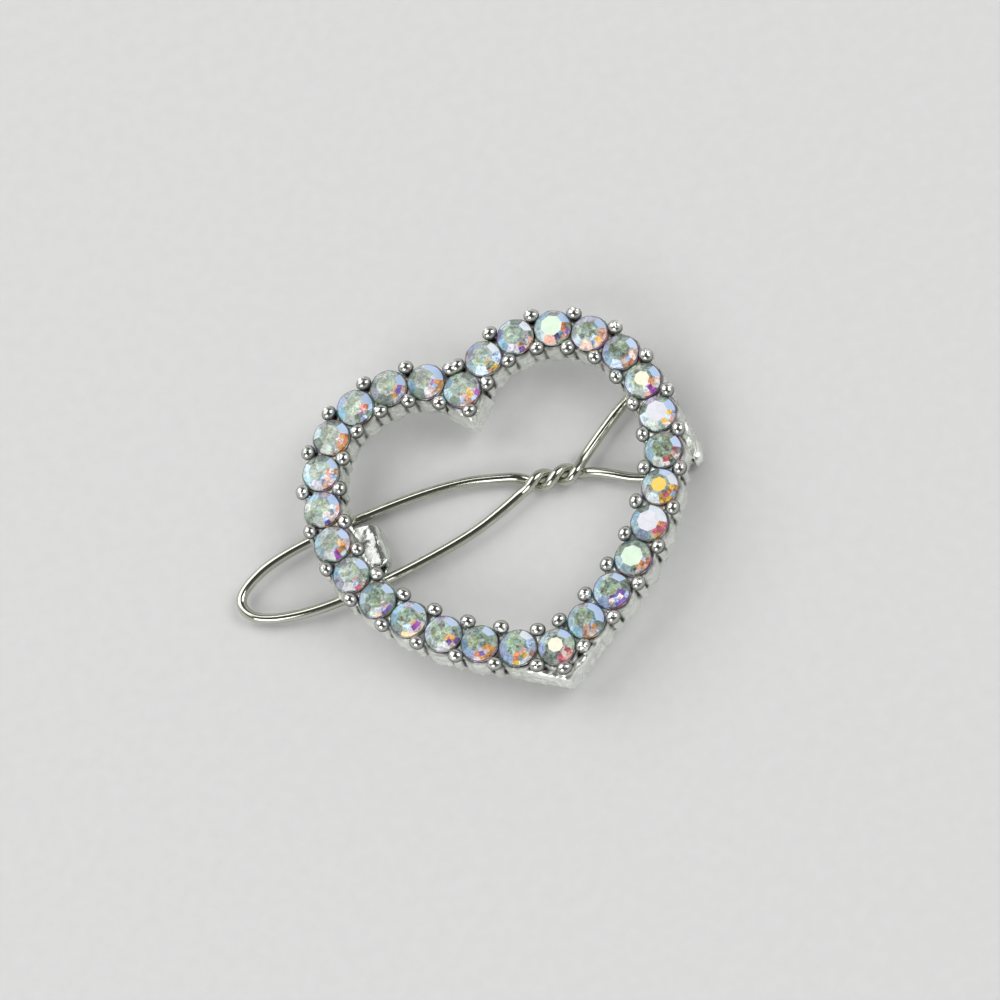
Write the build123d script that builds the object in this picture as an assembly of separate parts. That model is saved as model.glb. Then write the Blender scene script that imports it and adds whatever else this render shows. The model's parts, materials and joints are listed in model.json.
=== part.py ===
# Rhinestone heart hair clip: a cast heart with a row of glued round stones, a soldered hinge lug and
# catch on its back, and one bent spring wire that swings on the lug and snaps over the catch.
# Millimetres. +X runs along the wire towards its hinge, +Y towards the heart's lobes, +Z out of the
# stones. The drawing origin is the middle of the heart on the plane that the clip lies on; the
# finished model is shifted so that its own bounding box stands centred on the origin.
from build123d import *
from math import asin, atan2, cos, degrees, pi, radians, sin, tan
import os

# The row of stones: three tangent arcs from the notch, round the left lobe, down to the point
stoneCount = 28
notchY = 11.66
notchRise = 48.0
lobeRadius, lobeSweep = 7.75, 115.0
flankRadius, flankSweep = 13.0, 55.0
tipRadius = 21.5

# Round stones
stoneRadius = 1.5
girdleThickness = 0.05
tableWidth = 1.62
crownHeight = 0.55
pavilionDepth = 1.28
culetWidth = 0.3
facetCount = 8
stoneTurn = 137.5

# Heights above the plane that the clip lies on
wireRadius = 0.425
lugRadius = 0.92
wireZ = lugRadius
backZ = 2 * lugRadius
frameDepth = 2.45
rimBelowGirdle = 0.25
rimZ = backZ + frameDepth
girdleZ = rimZ + rimBelowGirdle

# Cast frame
cupRimRadius, cupBackRadius = 1.64, 1.84
bandRimHalf, bandBackHalf = 1.2, 1.45
bandDrop = 0.25
seatGap = 0.03
prongOffset = 1.45
prongRadius = 0.36
beadRadius = 0.45
beadZ = girdleZ + 0.1
innerTipY, outerTipY = 8.7, -14.6
tipDraft = 5.0
cornerDrop = 0.4

# Adhesive spot below each stone
spotRadius = 0.16
spotDepth = 0.2

# Hinge lug on the back of the right limb
hingeX = 15.13
lugLowY, lugBoreY, lugHighY = -0.5, 0.75, 4.3
lugTaperY, lugTipRadius = 1.2, 0.6
lugRound, hoodRound = 0.25, 0.8
boreRadius = wireRadius + 0.05
hoodRadius, hoodWall, hoodDrop = 0.62, 0.3, 0.3
saddleX, saddleWidth = 15.0, 1.3
saddleLowY, saddleHighY = 0.9, 3.8

# Catch on the back of the left limb
catchY = 3.22
catchSheet = 0.4
catchBodyWidth, catchLipWidth = 3.85, 4.2
catchPadX, catchCurlX, catchLipX = -15.2, -11.0, -13.5
catchRound, catchNoseRound = 0.15, 1.2

# Spring wire: the twist
twistX, twistY, twistLean = 4.12, 3.2, -9.0
twistHalfWidth, twistHalfHeight = 0.54, 0.47
twistPitch = 3.6
twistStep = 30
twistSteps = 14
twistLeadIn, twistSpread = 0.7, 0.72
overLeave, underLeave = (0.65, 1.1), (1.5, -0.35)

# Spring wire: the bends of its two arms on each side of the twist, in the plane of the wire
loopBends = [
    (0.1, 2.45),
    (-3.6, 1.2),
    (-10.5, 0.35),
    (-17.0, 0.05),
    (-21.6, 1.0),
    (-23.0, 2.6),
    (-22.4, 4.2),
    (-18.5, 5.85),
    (-9.0, 6.25),
    (-3.0, 5.85),
    (0.5, 4.75),
]
upperHingeBends = [(11.9, 7.25), (14.3, 7.6), (hingeX, 6.4), (hingeX, 2.9)]
lowerHingeBends = [(11.0, -0.05), (13.9, 0.15), (hingeX, 0.15), (hingeX, 1.9)]
bendShare = 0.45


def heartHalf():
    # The left half of the row's centreline, from the notch to the point
    rise = radians(notchRise)
    lobe = JernArc((0, notchY), (-cos(rise), sin(rise)), lobeRadius, lobeSweep)
    flank = JernArc(lobe @ 1, lobe % 1, flankRadius, flankSweep)
    start, heading = flank @ 1, flank % 1
    turned = atan2(heading.Y, heading.X)
    # The last arc stops where it crosses the heart's own axis
    crossing = asin((tipRadius * sin(turned) - start.X) / tipRadius)
    tip = JernArc(start, heading, tipRadius, degrees(crossing - turned))
    return Wire([lobe, flank, tip])


def alongHeart(half, step):
    # Place and outward direction at a step of the row; steps past the point run up the right half
    halfSteps = stoneCount // 2
    right = step > halfSteps
    share = (stoneCount - step if right else step) / halfSteps
    place = half.position_at(share)
    heading = half.tangent_at(share)
    outward = Vector(heading.Y, -heading.X)
    if right:
        place = Vector(-place.X, place.Y)
        outward = Vector(-outward.X, outward.Y)
    return place, outward


def frustum(lowWidth, highWidth, lowZ, highZ):
    # A facetCount-sided frustum, its widths measured across the flats
    low = Plane.XY.offset(lowZ) * RegularPolygon(lowWidth / 2, facetCount, major_radius=False)
    high = Plane.XY.offset(highZ) * RegularPolygon(highWidth / 2, facetCount, major_radius=False)
    return loft([low.face(), high.face()], ruled=True)


def roundStone():
    # Table and crown facets above the girdle, pavilion facets to a small flat culet below
    width = 2 * stoneRadius
    lowest = -girdleThickness - pavilionDepth
    crown = frustum(width, tableWidth, 0, crownHeight)
    waist = frustum(width, width, -girdleThickness, 0)
    pavilion = frustum(culetWidth, width, lowest, -girdleThickness)
    height = crownHeight - lowest
    barrel = Pos(0, 0, lowest + height / 2) * Cylinder(stoneRadius, height)
    return (crown + waist + pavilion) & barrel


def stoneSeat():
    # The hollow under a stone: a cone that clears the corners of the pavilion, with a blind pocket
    # below it for the adhesive
    corner = cos(pi / facetCount)
    mouth = stoneRadius / corner + seatGap
    floorRadius = culetWidth / 2 / corner + seatGap
    top = girdleZ - girdleThickness
    cone = Pos(0, 0, top - pavilionDepth / 2) * Cone(floorRadius, mouth, pavilionDepth)
    pocket = Pos(0, 0, spotFloor() + spotDepth / 2) * Cylinder(floorRadius, spotDepth)
    return cone + pocket


def spotFloor():
    return girdleZ - girdleThickness - pavilionDepth - spotDepth


def heartFrame(half):
    band = Polygon(
        (-bandBackHalf, backZ),
        (bandBackHalf, backZ),
        (bandRimHalf, rimZ - bandDrop),
        (-bandRimHalf, rimZ - bandDrop),
        align=None,
    )
    start, heading = half.position_at(0), half.tangent_at(0)
    across = Vector(heading.Y, -heading.X)
    profile = Plane(origin=start, x_dir=across, z_dir=-heading) * band
    limb = sweep(profile, path=half)
    solids = [mirror(limb, Plane.YZ)]
    for step in range(stoneCount):
        place, outward = alongHeart(half, step)
        cup = Cone(cupBackRadius, cupRimRadius, frameDepth)
        solids.append(Pos(place.X, place.Y, backZ + frameDepth / 2) * cup)
        valley, outward = alongHeart(half, step + 0.5)
        solids += [prong(valley + outward * side * prongOffset) for side in (-1, 1)]
    solids += heartCorners()
    frame = limb.fuse(*solids)
    seat = stoneSeat()
    seats = []
    for step in range(stoneCount):
        place, _ = alongHeart(half, step)
        seats.append(Pos(place.X, place.Y, 0) * seat)
    return frame.cut(*seats)


def prong(place):
    # A post up the side of the cups with a round bead on top
    height = beadZ - backZ
    post = Pos(place.X, place.Y, backZ + height / 2) * Cylinder(prongRadius, height)
    return post.fuse(Pos(place.X, place.Y, beadZ) * Sphere(beadRadius))


def heartCorners():
    # The sharp inner corner below the notch and the sharp outer point, each with its own prong
    height = rimZ - cornerDrop - backZ
    pointY = -notchY
    inner = Polygon((0, innerTipY), (2.0, notchY - 0.9), (0, notchY), (-2.0, notchY - 0.9), align=None)
    outer = Polygon(
        (0, outerTipY),
        (3.4, pointY - 0.75),
        (2.6, pointY + 1.2),
        (-2.6, pointY + 1.2),
        (-3.4, pointY - 0.75),
        align=None,
    )
    wedges = [extrude(Plane.XY.offset(backZ) * face, height, taper=tipDraft) for face in (inner, outer)]
    away = prongOffset + prongRadius
    return wedges + [prong(Vector(0, notchY - away)), prong(Vector(0, pointY - away))]


def hingeLug():
    # A tapered tube on a saddle soldered to the frame's back, with a hood over the wire's lower bend
    profile = Polyline(
        (0, lugLowY),
        (lugRadius, lugLowY),
        (lugRadius, lugTaperY),
        (lugTipRadius, lugHighY),
        (0, lugHighY),
        close=True,
    )
    outline = make_face(profile)
    lowCorner, taperCorner = outline.vertices().group_by(Axis.X)[-1].sort_by(Axis.Y)
    tipCorner = outline.vertices().group_by(Axis.Y)[-1].sort_by(Axis.X)[-1]
    outline = fillet([taperCorner, tipCorner], lugRound)
    lowCorner = outline.vertices().sort_by_distance((lowCorner.X, lowCorner.Y))[0]
    outline = fillet(lowCorner, hoodRound)
    tube = Pos(hingeX, 0, wireZ) * revolve(outline, Axis.Y)
    saddle = Pos(saddleX, (saddleLowY + saddleHighY) / 2, (wireZ + backZ) / 2) * Box(
        saddleWidth, saddleHighY - saddleLowY, backZ - wireZ
    )
    boreLength = lugHighY - lugLowY
    bore = Cylinder(boreRadius, boreLength, align=(Align.CENTER, Align.CENTER, Align.MIN))
    bore = Pos(hingeX, lugBoreY, wireZ) * Rot(-90, 0, 0) * bore
    pocketLowY = lugLowY + hoodWall
    pocket = Cylinder(hoodRadius, lugBoreY - pocketLowY)
    pocket = Pos(hingeX, (lugBoreY + pocketLowY) / 2, wireZ) * Rot(90, 0, 0) * pocket
    # The arm leaves sideways through one half of the hood and swings down through its underside
    reach = 2 * lugRadius
    hoodLength = lugBoreY - lugLowY
    hoodY = (lugBoreY + lugLowY) / 2
    side = Pos(hingeX - reach / 2, hoodY, wireZ) * Box(reach, hoodLength, 2 * reach)
    underside = Pos(hingeX, hoodY, wireZ - hoodDrop - reach / 2) * Box(2 * reach, hoodLength, reach)
    return (tube + saddle) - bore - pocket - side - underside


def catchHook():
    # A strip that leaves the frame's back, curls over and ends in a flat foot below the arms
    outer = backZ / 2
    inner = outer - catchSheet
    strip = Pos((catchPadX + catchCurlX) / 2, backZ - catchSheet / 2) * Rectangle(
        catchCurlX - catchPadX, catchSheet
    )
    foot = Pos((catchLipX + catchCurlX) / 2, catchSheet / 2) * Rectangle(
        catchCurlX - catchLipX, catchSheet
    )
    curl = Pos(catchCurlX, outer) * (Circle(outer) - Circle(inner))
    curl &= Pos(catchCurlX + outer, outer) * Rectangle(2 * outer, 2 * outer)
    side = Plane.XZ.offset(-catchY - catchBodyWidth / 2)
    body = extrude(side * (strip + curl + foot), catchBodyWidth)
    noseX = catchCurlX + outer
    outline = Pos((catchPadX + noseX) / 2, catchY) * Rectangle(noseX - catchPadX, catchBodyWidth)
    outline = fillet(outline.vertices().group_by(Axis.X)[-1], catchNoseRound)
    body &= extrude(outline, backZ)
    lipLength = catchCurlX - catchLipX
    lip = Pos((catchLipX + catchCurlX) / 2, catchY, catchSheet / 2) * Box(
        lipLength, catchLipWidth, catchSheet
    )
    lip = fillet(lip.edges().filter_by(Axis.Z), catchRound)
    return body + lip


def twistStrand(side):
    # One strand of the twist, led in and out in the plane of the wire; side is 1 for the strand
    # that starts above the axis and -1 for the one that starts below it and crosses over first
    lean = radians(twistLean)
    run = twistPitch * twistSteps * twistStep / 360
    first = 90 - side * 90 - twistStep
    points = []
    for step in range(twistSteps + 1):
        phase = radians(first - step * twistStep)
        along = run * (step / twistSteps - 0.5)
        points.append((along, twistHalfWidth * cos(phase), twistHalfHeight * sin(phase)))
    lead = (-run / 2 - twistLeadIn, side * twistSpread, 0)
    onward, across = overLeave if side < 0 else underLeave
    leave = (run / 2 + onward, across, 0)
    placed = []
    for along, across, up in [lead] + points + [leave]:
        x = twistX + along * cos(lean) - across * sin(lean)
        y = twistY + along * sin(lean) + across * cos(lean)
        placed.append(Vector(x, y, wireZ + up))
    return placed


def springWire():
    # One length of round wire, from its upper hinge end round the loop to its lower hinge end
    over, under = twistStrand(-1), twistStrand(1)
    upperEnd = [Vector(x, y, wireZ) for x, y in upperHingeBends]
    lowerEnd = [Vector(x, y, wireZ) for x, y in lowerHingeBends]
    loop = [Vector(x, y, wireZ) for x, y in loopBends]
    route = upperEnd[::-1] + over[::-1] + loop + under + lowerEnd
    radii = []
    for before, corner, after in zip(route, route[1:], route[2:]):
        arriving, leaving = corner - before, after - corner
        turn = radians(arriving.get_angle(leaving))
        shorter = min(arriving.length, leaving.length)
        radii.append(bendShare * shorter / tan(turn / 2))
    path = FilletPolyline(*route, radius=radii)
    section = Plane(origin=path @ 0, z_dir=path % 0) * Circle(wireRadius)
    wire = sweep(section, path=path)
    expected = pi * wireRadius**2 * path.length
    print(f"wire length {path.length:.1f} mm, tightest bend {min(radii):.2f} mm")
    print(f"wire volume {wire.volume:.2f} mm3, section times length {expected:.2f} mm3")
    return wire


def buildClip():
    half = heartHalf()
    print(f"stone pitch {half.length / (stoneCount // 2):.3f} mm along the row")
    pieces = {
        "heart_frame": heartFrame(half),
        "hinge_lug": hingeLug(),
        "catch_hook": catchHook(),
        "wire_spring": springWire(),
    }
    stone = roundStone()
    spot = Cylinder(spotRadius, spotDepth)
    spots = []
    for step in range(stoneCount):
        place, _ = alongHeart(half, step)
        turned = Pos(place.X, place.Y, girdleZ) * Rot(0, 0, stoneTurn * step) * stone
        pieces[f"stone_{step + 1:02d}"] = turned
        spots.append(Pos(place.X, place.Y, spotFloor() + spotDepth / 2) * spot)
    pieces["glue_spots"] = Compound(spots)
    return pieces


def writeClip(pieces):
    # The whole clip moves so that it stands centred on the origin, on the plane z = 0
    box = Compound([piece for piece in pieces.values()]).bounding_box()
    shift = Pos(-box.center().X, -box.center().Y, 0)
    print(f"shift x {-box.center().X:.4f}, y {-box.center().Y:.4f} mm; size {box.size}")
    os.makedirs("parts", exist_ok=True)
    for node, piece in pieces.items():
        export_step(shift * piece, f"parts/{node}.step")


writeClip(buildClip())
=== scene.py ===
import json
import math
import random

import bmesh
import bpy
from mathutils import Matrix, Quaternion, Vector, noise


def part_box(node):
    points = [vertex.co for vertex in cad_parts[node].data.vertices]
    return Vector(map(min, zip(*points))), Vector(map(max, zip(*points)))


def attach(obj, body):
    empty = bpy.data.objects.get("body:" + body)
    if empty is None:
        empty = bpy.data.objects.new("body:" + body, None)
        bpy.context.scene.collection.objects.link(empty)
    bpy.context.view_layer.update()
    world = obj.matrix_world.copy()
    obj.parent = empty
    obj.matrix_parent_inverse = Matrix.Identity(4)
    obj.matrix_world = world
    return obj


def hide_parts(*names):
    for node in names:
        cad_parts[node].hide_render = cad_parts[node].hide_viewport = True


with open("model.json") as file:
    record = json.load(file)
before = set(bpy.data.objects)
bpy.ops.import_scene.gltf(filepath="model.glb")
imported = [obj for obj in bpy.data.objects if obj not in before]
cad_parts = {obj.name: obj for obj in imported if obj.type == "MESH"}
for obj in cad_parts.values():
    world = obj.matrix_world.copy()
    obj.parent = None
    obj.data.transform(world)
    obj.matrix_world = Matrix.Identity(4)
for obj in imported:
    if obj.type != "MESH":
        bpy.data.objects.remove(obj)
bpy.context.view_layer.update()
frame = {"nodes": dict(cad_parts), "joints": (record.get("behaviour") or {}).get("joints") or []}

mm = 0.001
scene = bpy.context.scene
scene.view_settings.view_transform = "Standard"


def toLinear(red, green, blue):
    # screen colour, 0 to 255, to the linear colour that a shader takes
    share = [c / 255 for c in (red, green, blue)]
    return [c / 12.92 if c <= 0.04045 else ((c + 0.055) / 1.055) ** 2.4 for c in share]


# ---- camera ----
cameraStand = {
    "azimuth": 10.4,
    "elevation": 67.3,
    "roll": 31.5,
    "distance": 434.5 * mm,
    "aim": Vector((3.41, 0.91, 4.54)) * mm,
    "lens": 198,
}


def placeCamera(stand):
    azimuth, elevation = math.radians(stand["azimuth"]), math.radians(stand["elevation"])
    level = math.cos(elevation)
    back = Vector((math.sin(azimuth) * level, -math.cos(azimuth) * level, math.sin(elevation)))
    camera = bpy.data.objects.new("camera", bpy.data.cameras.new("camera"))
    scene.collection.objects.link(camera)
    camera.data.lens = stand["lens"]
    camera.data.clip_start, camera.data.clip_end = 0.01, 10
    camera.location = stand["aim"] + back * stand["distance"]
    camera.rotation_mode = "QUATERNION"
    upright = (-back).to_track_quat("-Z", "Y")
    camera.rotation_quaternion = upright @ Quaternion((0, 0, 1), -math.radians(stand["roll"]))
    scene.camera = camera


placeCamera(cameraStand)


# ---- shader groups that several finishes share ----
def newGroup(name, inputs, outputs):
    group = bpy.data.node_groups.new(name, "ShaderNodeTree")
    for label, kind, value in inputs:
        socket = group.interface.new_socket(label, in_out="INPUT", socket_type=kind)
        if value is not None:
            socket.default_value = value
    for label, kind in outputs:
        group.interface.new_socket(label, in_out="OUTPUT", socket_type=kind)
    return group, group.nodes.new("NodeGroupInput"), group.nodes.new("NodeGroupOutput")


def mathNode(nodes, links, operation, first, second=None, third=None):
    node = nodes.new("ShaderNodeMath")
    node.operation = operation
    for index, value in enumerate((first, second, third)):
        if value is None:
            continue
        if isinstance(value, (int, float)):
            node.inputs[index].default_value = value
        else:
            links.new(value, node.inputs[index])
    return node.outputs[0]


plateMix = {"patch": 0.9, "stainAndShadeRough": 0.35, "pitRough": 0.08, "pitHeight": 0.25}


def makePlateGroup():
    # thin silver plate over an uneven casting: colour, roughness and height
    group, given, made = newGroup(
        "silverPlate",
        [
            ("plateColour", "NodeSocketColor", (0.8, 0.8, 0.8, 1)),
            ("tarnishAndShadeColour", "NodeSocketColor", (0.2, 0.2, 0.17, 1)),
            ("hollow", "NodeSocketFloat", 0.0),
            ("lumpScale", "NodeSocketFloat", 900.0),
            ("pitScale", "NodeSocketFloat", 5000.0),
            ("gloss", "NodeSocketFloat", 0.16),
        ],
        [("colour", "NodeSocketColor"), ("roughness", "NodeSocketFloat"), ("height", "NodeSocketFloat")],
    )
    nodes, links = group.nodes, group.links
    place = nodes.new("ShaderNodeTexCoord")
    lumps = nodes.new("ShaderNodeTexNoise")
    lumps.inputs["Detail"].default_value = 3
    pits = nodes.new("ShaderNodeTexNoise")
    pits.inputs["Detail"].default_value = 2
    for texture, label in ((lumps, "lumpScale"), (pits, "pitScale")):
        links.new(place.outputs["Object"], texture.inputs["Vector"])
        links.new(given.outputs[label], texture.inputs["Scale"])
    patch = mathNode(nodes, links, "SUBTRACT", lumps.outputs["Fac"], 0.5)
    # random tarnish patches, plus the darkening passed in: darker in the skin's hollows, and painted shade
    # where the cups meet the stones and at the foot of each bead
    stainAndShade = mathNode(nodes, links, "MULTIPLY_ADD", patch, plateMix["patch"], given.outputs["hollow"])
    stainAndShade = mathNode(nodes, links, "MAXIMUM", stainAndShade, 0.0)
    stainAndShade = mathNode(nodes, links, "MINIMUM", stainAndShade, 1.0)
    mix = nodes.new("ShaderNodeMix")
    mix.data_type = "RGBA"
    links.new(stainAndShade, mix.inputs["Factor"])
    links.new(given.outputs["plateColour"], mix.inputs["A"])
    links.new(given.outputs["tarnishAndShadeColour"], mix.inputs["B"])
    rough = mathNode(nodes, links, "MULTIPLY_ADD", stainAndShade, plateMix["stainAndShadeRough"], given.outputs["gloss"])
    rough = mathNode(nodes, links, "MULTIPLY_ADD", pits.outputs["Fac"], plateMix["pitRough"], rough)
    pitDepth = plateMix["pitHeight"]
    height = mathNode(nodes, links, "MULTIPLY_ADD", pits.outputs["Fac"], pitDepth, lumps.outputs["Fac"])
    links.new(mix.outputs["Result"], made.inputs["colour"])
    links.new(rough, made.inputs["roughness"])
    links.new(height, made.inputs["height"])
    return group


plateGroup = makePlateGroup()


def newFinish(name):
    material = bpy.data.materials.new(name)
    material.use_nodes = True
    return material, material.node_tree.nodes, material.node_tree.links


def platedFinish(name, values, hollowAttribute=None):
    material, nodes, links = newFinish(name)
    surface = nodes["Principled BSDF"]
    surface.inputs["Metallic"].default_value = 1.0
    plate = nodes.new("ShaderNodeGroup")
    plate.node_tree = plateGroup
    for label in ("plateColour", "tarnishAndShadeColour"):
        plate.inputs[label].default_value = (*toLinear(*values[label]), 1)
    for label in ("lumpScale", "pitScale", "gloss"):
        plate.inputs[label].default_value = values[label]
    if hollowAttribute:
        hollow = nodes.new("ShaderNodeAttribute")
        hollow.attribute_name = hollowAttribute
        links.new(hollow.outputs["Fac"], plate.inputs["hollow"])
    bump = nodes.new("ShaderNodeBump")
    bump.inputs["Strength"].default_value = values["bumpStrength"]
    bump.inputs["Distance"].default_value = values["bumpDepth"]
    links.new(plate.outputs["colour"], surface.inputs["Base Color"])
    links.new(plate.outputs["roughness"], surface.inputs["Roughness"])
    links.new(plate.outputs["height"], bump.inputs["Height"])
    links.new(bump.outputs["Normal"], surface.inputs["Normal"])
    return material


def addPiece(name, mesh, body, nodes=()):
    piece = bpy.data.objects.new(name, mesh)
    scene.collection.objects.link(piece)
    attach(piece, body)
    if nodes:
        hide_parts(*nodes)
    return piece


def bakedMesh(source):
    # the evaluated object as a plain mesh, with its modifiers gone
    graph = bpy.context.evaluated_depsgraph_get()
    mesh = bpy.data.meshes.new_from_object(source.evaluated_get(graph))
    bpy.data.objects.remove(source)
    return mesh


# ---- where the stones stand ----
stoneNodes = sorted(name for name in frame["nodes"] if name.startswith("stone_"))
stoneBoxes = [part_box(name) for name in stoneNodes]
stoneCentres = [(low + high) / 2 for low, high in stoneBoxes]
stoneSize = {"radius": 1.5 * mm, "crown": 0.55 * mm, "pavilion": 1.28 * mm, "girdle": 0.05 * mm}
girdleZ = stoneBoxes[0][1].z - stoneSize["crown"]

# from the heart's own middle, on the floor, to the frame's: the hinge stands at a known place in both
hinge = frame["joints"][0]
hingeX, hingeY = 15.13, 2.3
heartShift = Vector((hinge["pos_m"][0] - hingeX * mm, hinge["pos_m"][1] - hingeY * mm, 0))


# ---- castings: softened, slightly lumpy skins over the designed solids ----
castingLook = {
    "plateColour": (248, 251, 245),
    "tarnishAndShadeColour": (52, 50, 42),
    "lumpScale": 900,
    "pitScale": 4200,
    "gloss": 0.24,
    "bumpStrength": 0.5,
    "bumpDepth": 0.03 * mm,
}
smallPartLook = {**castingLook, "plateColour": (230, 234, 228), "gloss": 0.16, "bumpStrength": 0.2}
weldReach = 0.0005 * mm
# small lumps on the big ones: how high and how much closer together
fineLump = {"height": 0.5, "closeness": 2.3}
castingShape = {"grain": 0.135 * mm, "softening": 8, "lump": 0.11 * mm, "lumpSize": 0.6 * mm}
catchShape = {"grain": 0.07 * mm, "softening": 8, "lump": 0.025 * mm, "lumpSize": 0.7 * mm}
# the lug carries a blob of solder: its middle and half sizes, in the heart's own millimetres
lugShape = {
    "grain": 0.07 * mm,
    "softening": 20,
    "lump": 0.06 * mm,
    "lumpSize": 0.8 * mm,
    "solder": ((14.95, 2.0, 1.8), (0.85, 2.1, 0.65)),
}
# painted shade: the cups are darkened where they meet a stone, from this far out to its edge
seatShade = {"outer": 1.7 * mm, "inner": 1.54 * mm, "below": 0.9 * mm, "most": 0.8}


def seatPaintedShade(place):
    if place.z < girdleZ - seatShade["below"]:
        return 0
    away = min((place.xy - centre.xy).length for centre in stoneCentres)
    share = (seatShade["outer"] - away) / (seatShade["outer"] - seatShade["inner"])
    return min(max(share, 0), 1) * seatShade["most"]


def castSkin(node, shape):
    source = bpy.data.objects.new("castSource", frame["nodes"][node].data.copy())
    scene.collection.objects.link(source)
    work = bmesh.new()
    work.from_mesh(source.data)
    bmesh.ops.remove_doubles(work, verts=work.verts, dist=weldReach)
    if "solder" in shape:
        middle, halves = [Vector(values) * mm for values in shape["solder"]]
        blobPlace = Matrix.LocRotScale(middle + heartShift, None, halves)
        bmesh.ops.create_icosphere(work, subdivisions=4, radius=1, matrix=blobPlace)
    work.to_mesh(source.data)
    work.free()
    remesh = source.modifiers.new("remesh", "REMESH")
    remesh.mode = "VOXEL"
    remesh.voxel_size = shape["grain"]
    smooth = source.modifiers.new("smooth", "SMOOTH")
    smooth.iterations = shape["softening"]
    smooth.factor = 0.5
    mesh = bakedMesh(source)
    low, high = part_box(node)
    work = bmesh.new()
    work.from_mesh(mesh)
    work.normal_update()
    hollowLayer = work.verts.layers.float.new("hollow")
    for vertex in work.verts:
        around = [edge.other_vert(vertex).co for edge in vertex.link_edges]
        middle = sum(around, Vector()) / len(around)
        vertex[hollowLayer] = (middle - vertex.co).dot(vertex.normal) / shape["grain"]
    for vertex in work.verts:
        place = vertex.co / shape["lumpSize"]
        push = noise.noise(place) + fineLump["height"] * noise.noise(place * fineLump["closeness"])
        moved = vertex.co + vertex.normal * push * shape["lump"]
        vertex.co = Vector([min(max(c, a), b) for c, a, b in zip(moved, low, high)])
    spreadHollow(work, hollowLayer)
    work.to_mesh(mesh)
    work.free()
    mesh.polygons.foreach_set("use_smooth", [True] * len(mesh.polygons))
    return mesh


hollowSpread = {"turns": 3, "own": 0.4, "strength": 16}


def spreadHollow(work, layer):
    # widens the measure of how sunken the skin is at a point, takes the painted shade at the stone seats
    # where that is darker, then brings it to 0 to 1
    own = hollowSpread["own"]
    for turn in range(hollowSpread["turns"]):
        fresh = {}
        for vertex in work.verts:
            around = [edge.other_vert(vertex)[layer] for edge in vertex.link_edges]
            fresh[vertex.index] = own * vertex[layer] + (1 - own) * sum(around) / len(around)
        for vertex in work.verts:
            vertex[layer] = fresh[vertex.index]
    for vertex in work.verts:
        dark = max(vertex[layer] * hollowSpread["strength"], seatPaintedShade(vertex.co))
        vertex[layer] = min(max(dark, 0), 1)


castSilver = platedFinish("castSilver", castingLook, "hollow")
stampedSilver = platedFinish("stampedSilver", smallPartLook, "hollow")
for pieceName, node, shape, finish in (
    ("heartCasting", "heart_frame", castingShape, castSilver),
    ("hingeLug", "hinge_lug", lugShape, castSilver),
    ("catchTongue", "catch_hook", catchShape, stampedSilver),
):
    skin = castSkin(node, shape)
    skin.materials.clear()
    skin.materials.append(finish)
    addPiece(pieceName, skin, "heart", [node])
    print(pieceName, "faces", len(skin.polygons))


# ---- geometry node trees ----
def newGeometryTree(name, inputs):
    tree = bpy.data.node_groups.new(name, "GeometryNodeTree")
    tree.interface.new_socket("Geometry", in_out="INPUT", socket_type="NodeSocketGeometry")
    for label, kind, value in inputs:
        socket = tree.interface.new_socket(label, in_out="INPUT", socket_type=kind)
        if value is not None:
            socket.default_value = value
    tree.interface.new_socket("Geometry", in_out="OUTPUT", socket_type="NodeSocketGeometry")
    return tree, tree.nodes.new("NodeGroupInput"), tree.nodes.new("NodeGroupOutput")


def runTree(source, tree, values):
    modifier = source.modifiers.new(tree.name, "NODES")
    modifier.node_group = tree
    for item in tree.interface.items_tree:
        if item.in_out == "INPUT" and item.name in values:
            modifier[item.identifier] = values[item.name]
    return bakedMesh(source)


# ---- prong beads: one on every prong ----
beadLook = {
    "plateColour": (208, 209, 204),
    "tarnishAndShadeColour": (62, 60, 54),
    "lumpScale": 500,
    "pitScale": 3000,
    "gloss": 0.13,
    "bumpStrength": 0.25,
    "bumpDepth": 0.02 * mm,
}
# painted shade: how the darkening fades up a bead of half height 1: from this high, none, to this low,
# darkest
beadFootShade = {"From Min": 0.75, "From Max": 0.1, "To Min": 0.0, "To Max": 0.85}
beadShape = {
    "offset": 1.55 * mm,
    "size": (0.64 * mm, 0.55 * mm, 0.5 * mm),
    "lift": 0.03 * mm,
    "nearest": 0.92,
    "slide": 0.1 * mm,
    "tipOffset": 1.9 * mm,
}


def beadPlaces():
    # each place with the direction that its bead is long in
    count = len(stoneCentres)
    pick = random.Random(7)
    places = []
    for index in range(count):
        here, there = stoneCentres[index], stoneCentres[(index + 1) % count]
        along = (there - here).normalized()
        across = Vector((-along.y, along.x, 0))
        for side in (-1, 1):
            reach = side * beadShape["offset"] * pick.uniform(beadShape["nearest"], 1.0)
            slide = beadShape["slide"] * pick.uniform(-1, 1)
            places.append(((here + there) / 2 + across * reach + along * slide, math.atan2(along.y, along.x)))
    for index in (0, count // 2):
        places.append((stoneCentres[index] - Vector((0, beadShape["tipOffset"], 0)), 0.0))
    return places


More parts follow.
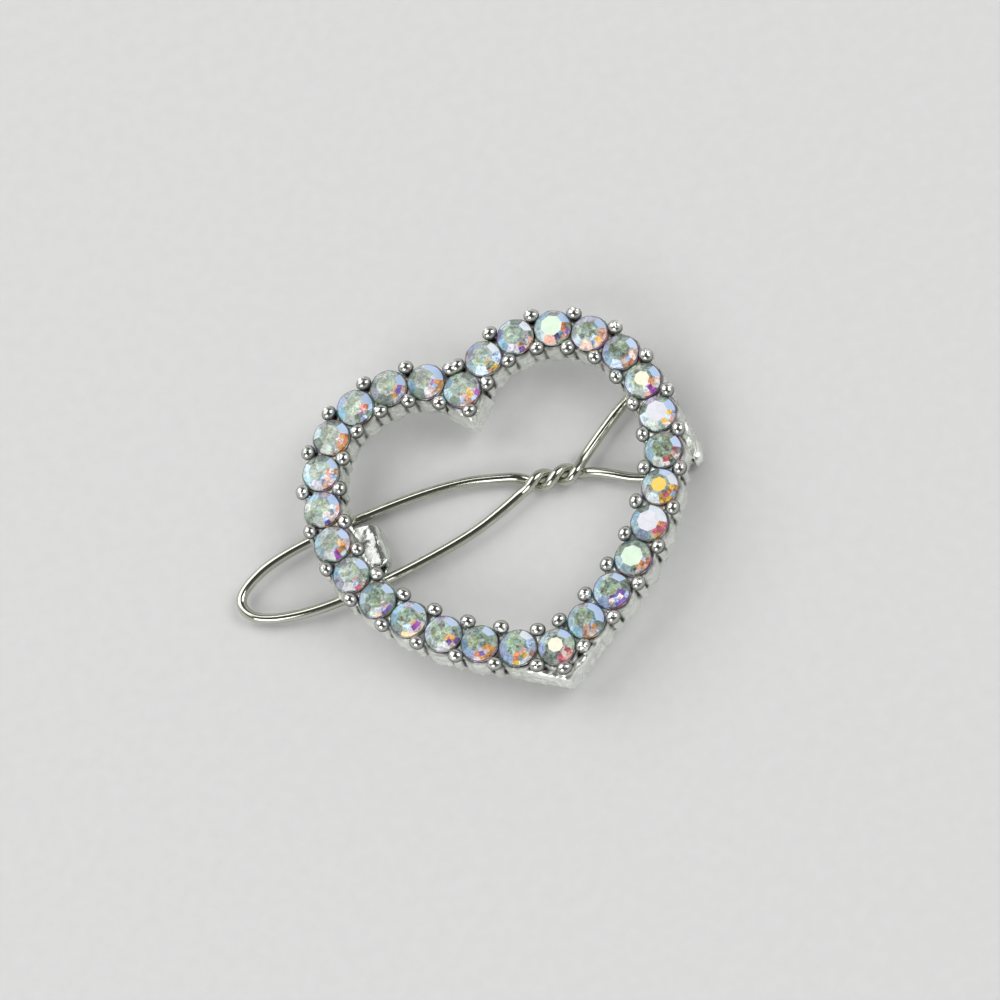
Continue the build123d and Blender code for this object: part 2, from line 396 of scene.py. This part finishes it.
def makeBeadTree():
    tree, given, made = newGeometryTree(
        "beadsOnProngs",
        [
            ("beadSize", "NodeSocketVector", (0.5 * mm, 0.45 * mm, 0.45 * mm)),
            ("material", "NodeSocketMaterial", None),
        ],
    )
    nodes, links = tree.nodes, tree.links
    ball = nodes.new("GeometryNodeMeshUVSphere")
    ball.inputs["Segments"].default_value = 24
    ball.inputs["Rings"].default_value = 14
    ball.inputs["Radius"].default_value = 1
    # painted shade darkens the foot of each bead
    place = nodes.new("GeometryNodeInputPosition")
    split = nodes.new("ShaderNodeSeparateXYZ")
    footShade = nodes.new("ShaderNodeMapRange")
    for label, value in beadFootShade.items():
        footShade.inputs[label].default_value = value
    store = nodes.new("GeometryNodeStoreNamedAttribute")
    store.inputs["Name"].default_value = "hollow"
    links.new(place.outputs["Position"], split.inputs["Vector"])
    links.new(split.outputs["Z"], footShade.inputs["Value"])
    links.new(footShade.outputs["Result"], store.inputs["Value"])
    links.new(ball.outputs["Mesh"], store.inputs["Geometry"])
    turn = nodes.new("GeometryNodeInputNamedAttribute")
    turn.inputs["Name"].default_value = "turn"
    euler = nodes.new("ShaderNodeCombineXYZ")
    onPoints = nodes.new("GeometryNodeInstanceOnPoints")
    realize = nodes.new("GeometryNodeRealizeInstances")
    shade = nodes.new("GeometryNodeSetShadeSmooth")
    paint = nodes.new("GeometryNodeSetMaterial")
    links.new(given.outputs["Geometry"], onPoints.inputs["Points"])
    links.new(store.outputs["Geometry"], onPoints.inputs["Instance"])
    links.new(turn.outputs["Attribute"], euler.inputs["Z"])
    links.new(euler.outputs["Vector"], onPoints.inputs["Rotation"])
    links.new(given.outputs["beadSize"], onPoints.inputs["Scale"])
    links.new(onPoints.outputs["Instances"], shade.inputs["Geometry"])
    links.new(shade.outputs["Geometry"], realize.inputs["Geometry"])
    links.new(realize.outputs["Geometry"], paint.inputs["Geometry"])
    links.new(given.outputs["material"], paint.inputs["Material"])
    links.new(paint.outputs["Geometry"], made.inputs["Geometry"])
    return tree


def makeBeads():
    places = beadPlaces()
    seats = bpy.data.meshes.new("beadPlaces")
    height = girdleZ + beadShape["lift"]
    seats.from_pydata([(place.x, place.y, height) for place, turn in places], [], [])
    turns = seats.attributes.new("turn", "FLOAT", "POINT")
    turns.data.foreach_set("value", [turn for place, turn in places])
    source = bpy.data.objects.new("beadSource", seats)
    scene.collection.objects.link(source)
    finish = platedFinish("beadSilver", beadLook, "hollow")
    return runTree(source, makeBeadTree(), {"beadSize": beadShape["size"], "material": finish})


addPiece("prongBeads", makeBeads(), "heart")
print("beads made")


# ---- rhinestones ----
stonePalette = {
    "blue": [(150, 185, 208), (130, 169, 190), (169, 198, 207), (143, 162, 196), (188, 206, 212)],
    "cool": [
        (161, 177, 163), (140, 155, 142), (169, 180, 178),
        (166, 165, 184), (122, 138, 129), (183, 187, 186),
    ],
    "warm": [
        (215, 131, 91), (209, 108, 129), (167, 86, 182), (226, 185, 82),
        (218, 169, 149), (222, 159, 93), (126, 99, 178), (208, 165, 133),
    ],
    "icy": [(188, 208, 238), (223, 231, 241), (175, 198, 231)],
    "table": [(142, 165, 137), (156, 171, 136), (129, 155, 150), (164, 179, 170), (150, 159, 146)],
    "cream": [(248, 243, 222)],
    "pearl": [(226, 226, 234)],
    "gold": [(250, 212, 108)],
    "mint": [(222, 242, 220)],
}
stoneDetail = {
    "sectors": 32,
    "facets": 8,
    "tableShare": 0.54,
    "innerShare": 0.7,
    "culetShare": 0.1,
    "rimShare": 0.95,
    "rimSwing": (0.4, 2.5),
}
# how far from their facings, in radians, the coating's painted reflection colours reach
coatingReflectionReach = {"blue": 1.1, "tableEdge": 0.6, "splitFacet": 0.7}
# the ways that the painted reflections face: the icy highlight, the warm colours and the blue
icyFacing, warmFacing, blueFacing = math.radians(23), math.radians(-62), math.radians(165)
# painted highlights: the tables of these stones are painted one clean bright colour
tableHighlights = {15: "cream", 18: "mint", 19: "pearl", 20: "gold", 22: "pearl", 23: "cream", 26: "mint"}
# painted shade: each stone's outer rim, where it sits in its cup, is painted dark
rimShadeColour = toLinear(84, 84, 88)


def turnBetween(first, second):
    return abs((first - second + math.pi) % (2 * math.pi) - math.pi)


def stoneMood(number, pick):
    # what sets one stone apart from the next
    return {
        "table": tableHighlights.get(number, "table"),
        "warm": pick.sample(stonePalette["warm"], 3) + [(226, 206, 200)],
        "warmFacing": warmFacing + pick.uniform(-0.4, 0.35),
        "warmReach": pick.uniform(0.55, 1.15),
        "icyReach": pick.uniform(0.3, 0.6),
        "blueShare": pick.uniform(0.3, 1.0),
        "bright": pick.uniform(0.8, 1.12),
    }


def stoneColour(ring, azimuth, pick, mood):
    # painted reflections: the coated glass's blue light one way, its warm light the other and a pale icy
    # highlight a third way are painted on the facets by the way each faces, whichever way a stone is turned
    # painted shade on the rim
    if ring == "rim":
        return [c * pick.uniform(*stoneDetail["rimSwing"]) for c in rimShadeColour] + [0.0]
    toWarm = turnBetween(azimuth, mood["warmFacing"])
    onTable = ring in ("tableInner", "tableOuter")
    family, clean = "cool", 0.0
    # painted highlight on the table of a listed stone
    if onTable and mood["table"] != "table" and (ring == "tableInner" or mood["table"] in ("pearl", "mint")):
        family, clean = mood["table"], 0.95
    elif onTable and (ring == "tableInner" or toWarm > coatingReflectionReach["tableEdge"]):
        family = "table"
    elif not onTable and turnBetween(azimuth, icyFacing) < mood["icyReach"]:
        family, clean = "icy", 1.0
    elif toWarm < mood["warmReach"]:
        family = pick.choice(["warm"] * 6 + ["cool", "icy"])
    elif turnBetween(azimuth, blueFacing) < coatingReflectionReach["blue"] and pick.random() < mood["blueShare"]:
        family, clean = "blue", 0.3
    colours = mood["warm"] if family == "warm" else stonePalette[family]
    shade = mood["bright"] * pick.uniform(0.75, 1.2) if clean < 0.5 else pick.uniform(0.95, 1.05)
    return [min(1, c * shade) for c in toLinear(*pick.choice(colours))] + [clean]


def makeStone(number, centre, turn):
    pick = random.Random(100 + number)
    sectors, facets = stoneDetail["sectors"], stoneDetail["facets"]
    radius, crown, pavilion = stoneSize["radius"], stoneSize["crown"], stoneSize["pavilion"]
    table, culet = stoneDetail["tableShare"] * radius, stoneDetail["culetShare"] * radius
    facetTurn = 2 * math.pi / facets

    def facetLean(angle):
        return math.cos((angle + facetTurn / 2) % facetTurn - facetTurn / 2)

    def crownZ(reach, angle):
        return crown * (radius - reach * facetLean(angle)) / (radius - table)

    def pavilionZ(reach, angle):
        return -stoneSize["girdle"] - pavilion * (radius - reach * facetLean(angle)) / (radius - culet)

    rings = [
        ("tableInner", lambda a: stoneDetail["innerShare"] * table / facetLean(a), lambda r, a: crown),
        ("tableOuter", lambda a: table / facetLean(a), lambda r, a: crown),
        ("crownInner", lambda a: 0.5 * (table / facetLean(a) + radius), crownZ),
        ("crownOuter", lambda a: stoneDetail["rimShare"] * radius, crownZ),
        ("rim", lambda a: radius, crownZ),
        ("girdle", lambda a: radius, pavilionZ),
        ("pavilion", lambda a: culet / facetLean(a), pavilionZ),
    ]
    vertices = [(0, 0, crown)]
    for name, reachAt, heightAt in rings:
        for step in range(sectors):
            angle = 2 * math.pi * step / sectors
            reach = reachAt(angle)
            vertices.append((reach * math.cos(angle), reach * math.sin(angle), heightAt(reach, angle)))
    vertices.append((0, 0, pavilionZ(culet, 0)))
    faces, cells = [], []
    for index, (name, reachAt, heightAt) in enumerate(rings):
        for step in range(sectors):
            after = (step + 1) % sectors
            outer = [1 + index * sectors + step, 1 + index * sectors + after]
            inner = [0] if index == 0 else [i - sectors for i in outer[::-1]]
            faces.append(outer + inner)
            cells.append((name, step))
    last = len(vertices) - 1
    for step in range(sectors):
        faces.append([last - sectors + (step + 1) % sectors, last - sectors + step, last])
        cells.append(("culet", step))
    mesh = bpy.data.meshes.new(f"rhinestone_{number:02d}")
    mesh.from_pydata(vertices, [], faces)
    colours = mesh.attributes.new("facetColour", "FLOAT_COLOR", "CORNER")
    sectorTurn = 2 * math.pi / sectors
    facetSteps = sectors // facets
    mood = stoneMood(number, pick)
    chosen = {}
    corner = 0
    for polygon, (name, step) in zip(mesh.polygons, cells):
        facet = (step + facetSteps // 2) // facetSteps % facets
        key, middle = ("crown", facet), facet * facetTurn + turn
        towardWarm = turnBetween(middle, mood["warmFacing"])
        if name in ("crownInner", "crownOuter") and towardWarm < coatingReflectionReach["splitFacet"]:
            key, middle = (name, step // 2), (step // 2 * 2 + 1) * sectorTurn + turn
        elif name in ("tableInner", "tableOuter", "rim", "girdle", "pavilion", "culet"):
            key = (name, facet)
        if key not in chosen:
            chosen[key] = stoneColour(name, middle, pick, mood)
        for _ in polygon.loop_indices:
            colours.data[corner].color = chosen[key]
            corner += 1
    place = Quaternion((0, 0, 1), turn)
    for vertex in mesh.vertices:
        vertex.co = place @ vertex.co + Vector((centre.x, centre.y, girdleZ))
    return mesh


def makeMottleGroup():
    # broken glints inside a facet: brightness to multiply its colour by, less where the facet is clean
    group, given, made = newGroup(
        "glassMottle",
        [
            ("clean", "NodeSocketFloat", 0.0),
            ("cells", "NodeSocketFloat", 2400.0),
            ("depth", "NodeSocketFloat", 0.75),
        ],
        [("brightness", "NodeSocketFloat")],
    )
    nodes, links = group.nodes, group.links
    place = nodes.new("ShaderNodeTexCoord")
    fine = mathNode(nodes, links, "MULTIPLY", given.outputs["cells"], 2.6)
    levels = []
    for scale in (given.outputs["cells"], fine):
        cells = nodes.new("ShaderNodeTexVoronoi")
        links.new(place.outputs["Object"], cells.inputs["Vector"])
        links.new(scale, cells.inputs["Scale"])
        split = nodes.new("ShaderNodeSeparateColor")
        links.new(cells.outputs["Color"], split.inputs["Color"])
        levels.append(mathNode(nodes, links, "SUBTRACT", split.outputs["Red"], 0.5))
    both = mathNode(nodes, links, "ADD", *levels)
    dirty = mathNode(nodes, links, "SUBTRACT", 1.0, given.outputs["clean"])
    swing = mathNode(nodes, links, "MULTIPLY", both, given.outputs["depth"])
    swing = mathNode(nodes, links, "MULTIPLY", swing, dirty)
    links.new(mathNode(nodes, links, "ADD", swing, 1.0), made.inputs["brightness"])
    return group


def crystalFinish():
    material, nodes, links = newFinish("coatedCrystal")
    surface = nodes["Principled BSDF"]
    paint = nodes.new("ShaderNodeAttribute")
    paint.attribute_name = "facetColour"
    mottle = nodes.new("ShaderNodeGroup")
    mottle.node_tree = makeMottleGroup()
    links.new(paint.outputs["Alpha"], mottle.inputs["clean"])
    scale = nodes.new("ShaderNodeVectorMath")
    scale.operation = "SCALE"
    links.new(paint.outputs["Color"], scale.inputs[0])
    links.new(mottle.outputs["brightness"], scale.inputs["Scale"])
    links.new(scale.outputs["Vector"], surface.inputs["Base Color"])
    surface.inputs["Roughness"].default_value = 0.12
    surface.inputs["IOR"].default_value = 1.55
    surface.inputs["Coat Weight"].default_value = 1.0
    surface.inputs["Coat Roughness"].default_value = 0.02
    # painted glow: the stones give off a little light in their own painted colours
    links.new(scale.outputs["Vector"], surface.inputs["Emission Color"])
    surface.inputs["Emission Strength"].default_value = 0.22
    return material


coatedCrystal = crystalFinish()
turnStep = math.radians(137.5)
for number, centre in enumerate(stoneCentres, start=1):
    stoneTurn = turnStep * (number - 1)
    mesh = makeStone(number, centre, stoneTurn)
    mesh.materials.append(coatedCrystal)
    addPiece(f"rhinestone_{number:02d}", mesh, "heart", [stoneNodes[number - 1]])
print("stones made", len(stoneCentres))


# ---- spring wire ----
wireLook = {
    "plateColour": (198, 199, 187),
    "tarnishAndShadeColour": (96, 96, 80),
    "lumpScale": 300,
    "pitScale": 2500,
    "gloss": 0.07,
    "bumpStrength": 0.2,
    "bumpDepth": 0.02 * mm,
}
wireShape = {
    "radius": 0.425 * mm,
    "sides": 24,
    "twistCentre": (4.12, 3.2),
    "twistLean": math.radians(-9),
    "twistHalf": (0.54, 0.47),
    "twistRun": 4.2,
    "twistSteps": 14,
    "twistStart": 60,
    "twistStep": 30,
    "lead": (0.7, 0.72),
    "leave": {-1: (0.65, 1.1), 1: (1.5, -0.35)},
}
# the bends of the wire, in the heart's own millimetres: the loop, then both ends at the hinge
loopBends = [
    (0.1, 2.45), (-3.6, 1.2), (-10.5, 0.35), (-17.0, 0.05), (-21.6, 1.0),
    (-23.0, 2.6), (-22.4, 4.2), (-18.5, 5.85), (-9.0, 6.25), (-3.0, 5.85), (0.5, 4.75),
]
upperHingeBends = [(11.9, 7.25), (14.3, 7.6), (hingeX, 6.4), (hingeX, 4.3), (hingeX, 2.9)]
lowerHingeBends = [(11.0, -0.05), (13.9, 0.15), (14.75, 0.15), (hingeX, 0.53), (hingeX, 1.9)]


def twistStrand(side):
    shape = wireShape
    run, steps = shape["twistRun"], shape["twistSteps"]
    wide, high = shape["twistHalf"]
    before, spread = shape["lead"]
    placed = [(-run / 2 - before, side * spread, 0)]
    for step in range(steps + 1):
        phase = math.radians(shape["twistStart"] - side * 90 - shape["twistStep"] * step)
        placed.append((run * (step / steps - 0.5), wide * math.cos(phase), high * math.sin(phase)))
    onward, across = shape["leave"][side]
    placed.append((run / 2 + onward, across, 0))
    lean, (x, y) = shape["twistLean"], shape["twistCentre"]
    return [
        (x + a * math.cos(lean) - c * math.sin(lean), y + a * math.sin(lean) + c * math.cos(lean), up)
        for a, c, up in placed
    ]


def makeWireTree():
    tree, given, made = newGeometryTree(
        "drawnWire",
        [
            ("wireRadius", "NodeSocketFloat", 0.4 * mm),
            ("sides", "NodeSocketInt", 24),
            ("material", "NodeSocketMaterial", None),
        ],
    )
    nodes, links = tree.nodes, tree.links
    section = nodes.new("GeometryNodeCurvePrimitiveCircle")
    tube = nodes.new("GeometryNodeCurveToMesh")
    tube.inputs["Fill Caps"].default_value = True
    shade = nodes.new("GeometryNodeSetShadeSmooth")
    realize = nodes.new("GeometryNodeRealizeInstances")
    paint = nodes.new("GeometryNodeSetMaterial")
    links.new(given.outputs["wireRadius"], section.inputs["Radius"])
    links.new(given.outputs["sides"], section.inputs["Resolution"])
    links.new(given.outputs["Geometry"], tube.inputs["Curve"])
    links.new(section.outputs["Curve"], tube.inputs["Profile Curve"])
    links.new(tube.outputs["Mesh"], shade.inputs["Geometry"])
    links.new(shade.outputs["Geometry"], realize.inputs["Geometry"])
    links.new(realize.outputs["Geometry"], paint.inputs["Geometry"])
    links.new(given.outputs["material"], paint.inputs["Material"])
    links.new(paint.outputs["Geometry"], made.inputs["Geometry"])
    return tree


def makeWire():
    flat = lambda points: [(x, y, 0) for x, y in points]
    route = flat(upperHingeBends)[::-1] + twistStrand(-1)[::-1] + flat(loopBends)
    route += twistStrand(1) + flat(lowerHingeBends)
    curve = bpy.data.curves.new("wireLine", "CURVE")
    curve.dimensions = "3D"
    line = curve.splines.new("NURBS")
    line.points.add(len(route) - 1)
    atRest = heartShift + Vector((0, 0, hinge["pos_m"][2]))
    for point, (x, y, z) in zip(line.points, route):
        point.co = (*(Vector((x, y, z)) * mm + atRest), 1)
    line.order_u = 3
    line.use_endpoint_u = True
    line.resolution_u = 10
    source = bpy.data.objects.new("wireSource", curve)
    scene.collection.objects.link(source)
    values = {
        "wireRadius": wireShape["radius"],
        "sides": wireShape["sides"],
        "material": platedFinish("wireSilver", wireLook),
    }
    return runTree(source, makeWireTree(), values)


wireMesh = makeWire()
addPiece("springWire", wireMesh, "wire", ["wire_spring"])
print("wire made, faces", len(wireMesh.polygons))


# ---- adhesive below the stones ----
adhesiveLook = {"thin": (196, 190, 168), "thick": (230, 226, 210), "cloud": 3000, "gloss": 0.25}


def adhesiveFinish():
    material, nodes, links = newFinish("setAdhesive")
    surface = nodes["Principled BSDF"]
    cloud = nodes.new("ShaderNodeTexNoise")
    cloud.inputs["Scale"].default_value = adhesiveLook["cloud"]
    place = nodes.new("ShaderNodeTexCoord")
    links.new(place.outputs["Object"], cloud.inputs["Vector"])
    ramp = nodes.new("ShaderNodeValToRGB")
    ramp.color_ramp.elements[0].color = (*toLinear(*adhesiveLook["thin"]), 1)
    ramp.color_ramp.elements[1].color = (*toLinear(*adhesiveLook["thick"]), 1)
    links.new(cloud.outputs["Fac"], ramp.inputs["Fac"])
    links.new(ramp.outputs["Color"], surface.inputs["Base Color"])
    surface.inputs["Roughness"].default_value = adhesiveLook["gloss"]
    return material


glueMesh = frame["nodes"]["glue_spots"].data
glueMesh.materials.clear()
glueMesh.materials.append(adhesiveFinish())


# ---- floor and light ----
stageLook = {"floor": (229, 229, 229), "dim": (221, 221, 221), "size": 3.0}
# each lamp: the way to it, how far, how wide, how strong
lamps = [
    {"name": "windowLamp", "way": (-0.45, 0.52, 0.725), "away": 0.95, "size": 0.8, "power": 4.4},
    {"name": "rightLamp", "way": (0.643, -0.041, 0.765), "away": 0.8, "size": 0.45, "power": 2.15},
    {"name": "leftLamp", "way": (-0.536, -0.54, 0.649), "away": 0.8, "size": 0.4, "power": 1.75},
]
# brightness of the room from the horizon to straight up
roomLook = [(0.0, 0.8), (0.45, 0.55), (0.62, 0.14), (1.0, 0.07)]


def makeRoom():
    world = bpy.data.worlds.new("room")
    world.use_nodes = True
    nodes, links = world.node_tree.nodes, world.node_tree.links
    way = nodes.new("ShaderNodeTexCoord")
    split = nodes.new("ShaderNodeSeparateXYZ")
    links.new(way.outputs["Generated"], split.inputs["Vector"])
    ramp = nodes.new("ShaderNodeValToRGB")
    for index, (height, level) in enumerate(roomLook):
        element = ramp.color_ramp.elements[index] if index < 2 else ramp.color_ramp.elements.new(height)
        element.position = height
        element.color = (level, level, level * 0.98, 1)
    links.new(split.outputs["Z"], ramp.inputs["Fac"])
    links.new(ramp.outputs["Color"], nodes["Background"].inputs["Color"])
    nodes["Background"].inputs["Strength"].default_value = 1
    scene.world = world


def makeStage():
    work = bmesh.new()
    bmesh.ops.create_grid(work, x_segments=4, y_segments=4, size=stageLook["size"] / 2)
    mesh = bpy.data.meshes.new("floor")
    work.to_mesh(mesh)
    work.free()
    floor = bpy.data.objects.new("floor", mesh)
    scene.collection.objects.link(floor)
    material, nodes, links = newFinish("paperFloor")
    place = nodes.new("ShaderNodeTexCoord")
    fibre = nodes.new("ShaderNodeTexNoise")
    fibre.inputs["Scale"].default_value = 900
    fibre.inputs["Detail"].default_value = 4
    tone = nodes.new("ShaderNodeValToRGB")
    for element, colour in zip(tone.color_ramp.elements, (stageLook["dim"], stageLook["floor"])):
        element.color = (*toLinear(*colour), 1)
    links.new(place.outputs["Object"], fibre.inputs["Vector"])
    links.new(fibre.outputs["Fac"], tone.inputs["Fac"])
    links.new(tone.outputs["Color"], nodes["Principled BSDF"].inputs["Base Color"])
    nodes["Principled BSDF"].inputs["Roughness"].default_value = 0.9
    mesh.materials.append(material)
    for lamp in lamps:
        light = bpy.data.lights.new(lamp["name"], "AREA")
        light.size, light.energy = lamp["size"], lamp["power"]
        holder = bpy.data.objects.new(lamp["name"], light)
        scene.collection.objects.link(holder)
        way = Vector(lamp["way"]).normalized()
        holder.location = way * lamp["away"]
        holder.rotation_mode = "QUATERNION"
        holder.rotation_quaternion = (-way).to_track_quat("-Z", "Y")


makeRoom()
makeStage()
print("stage set")
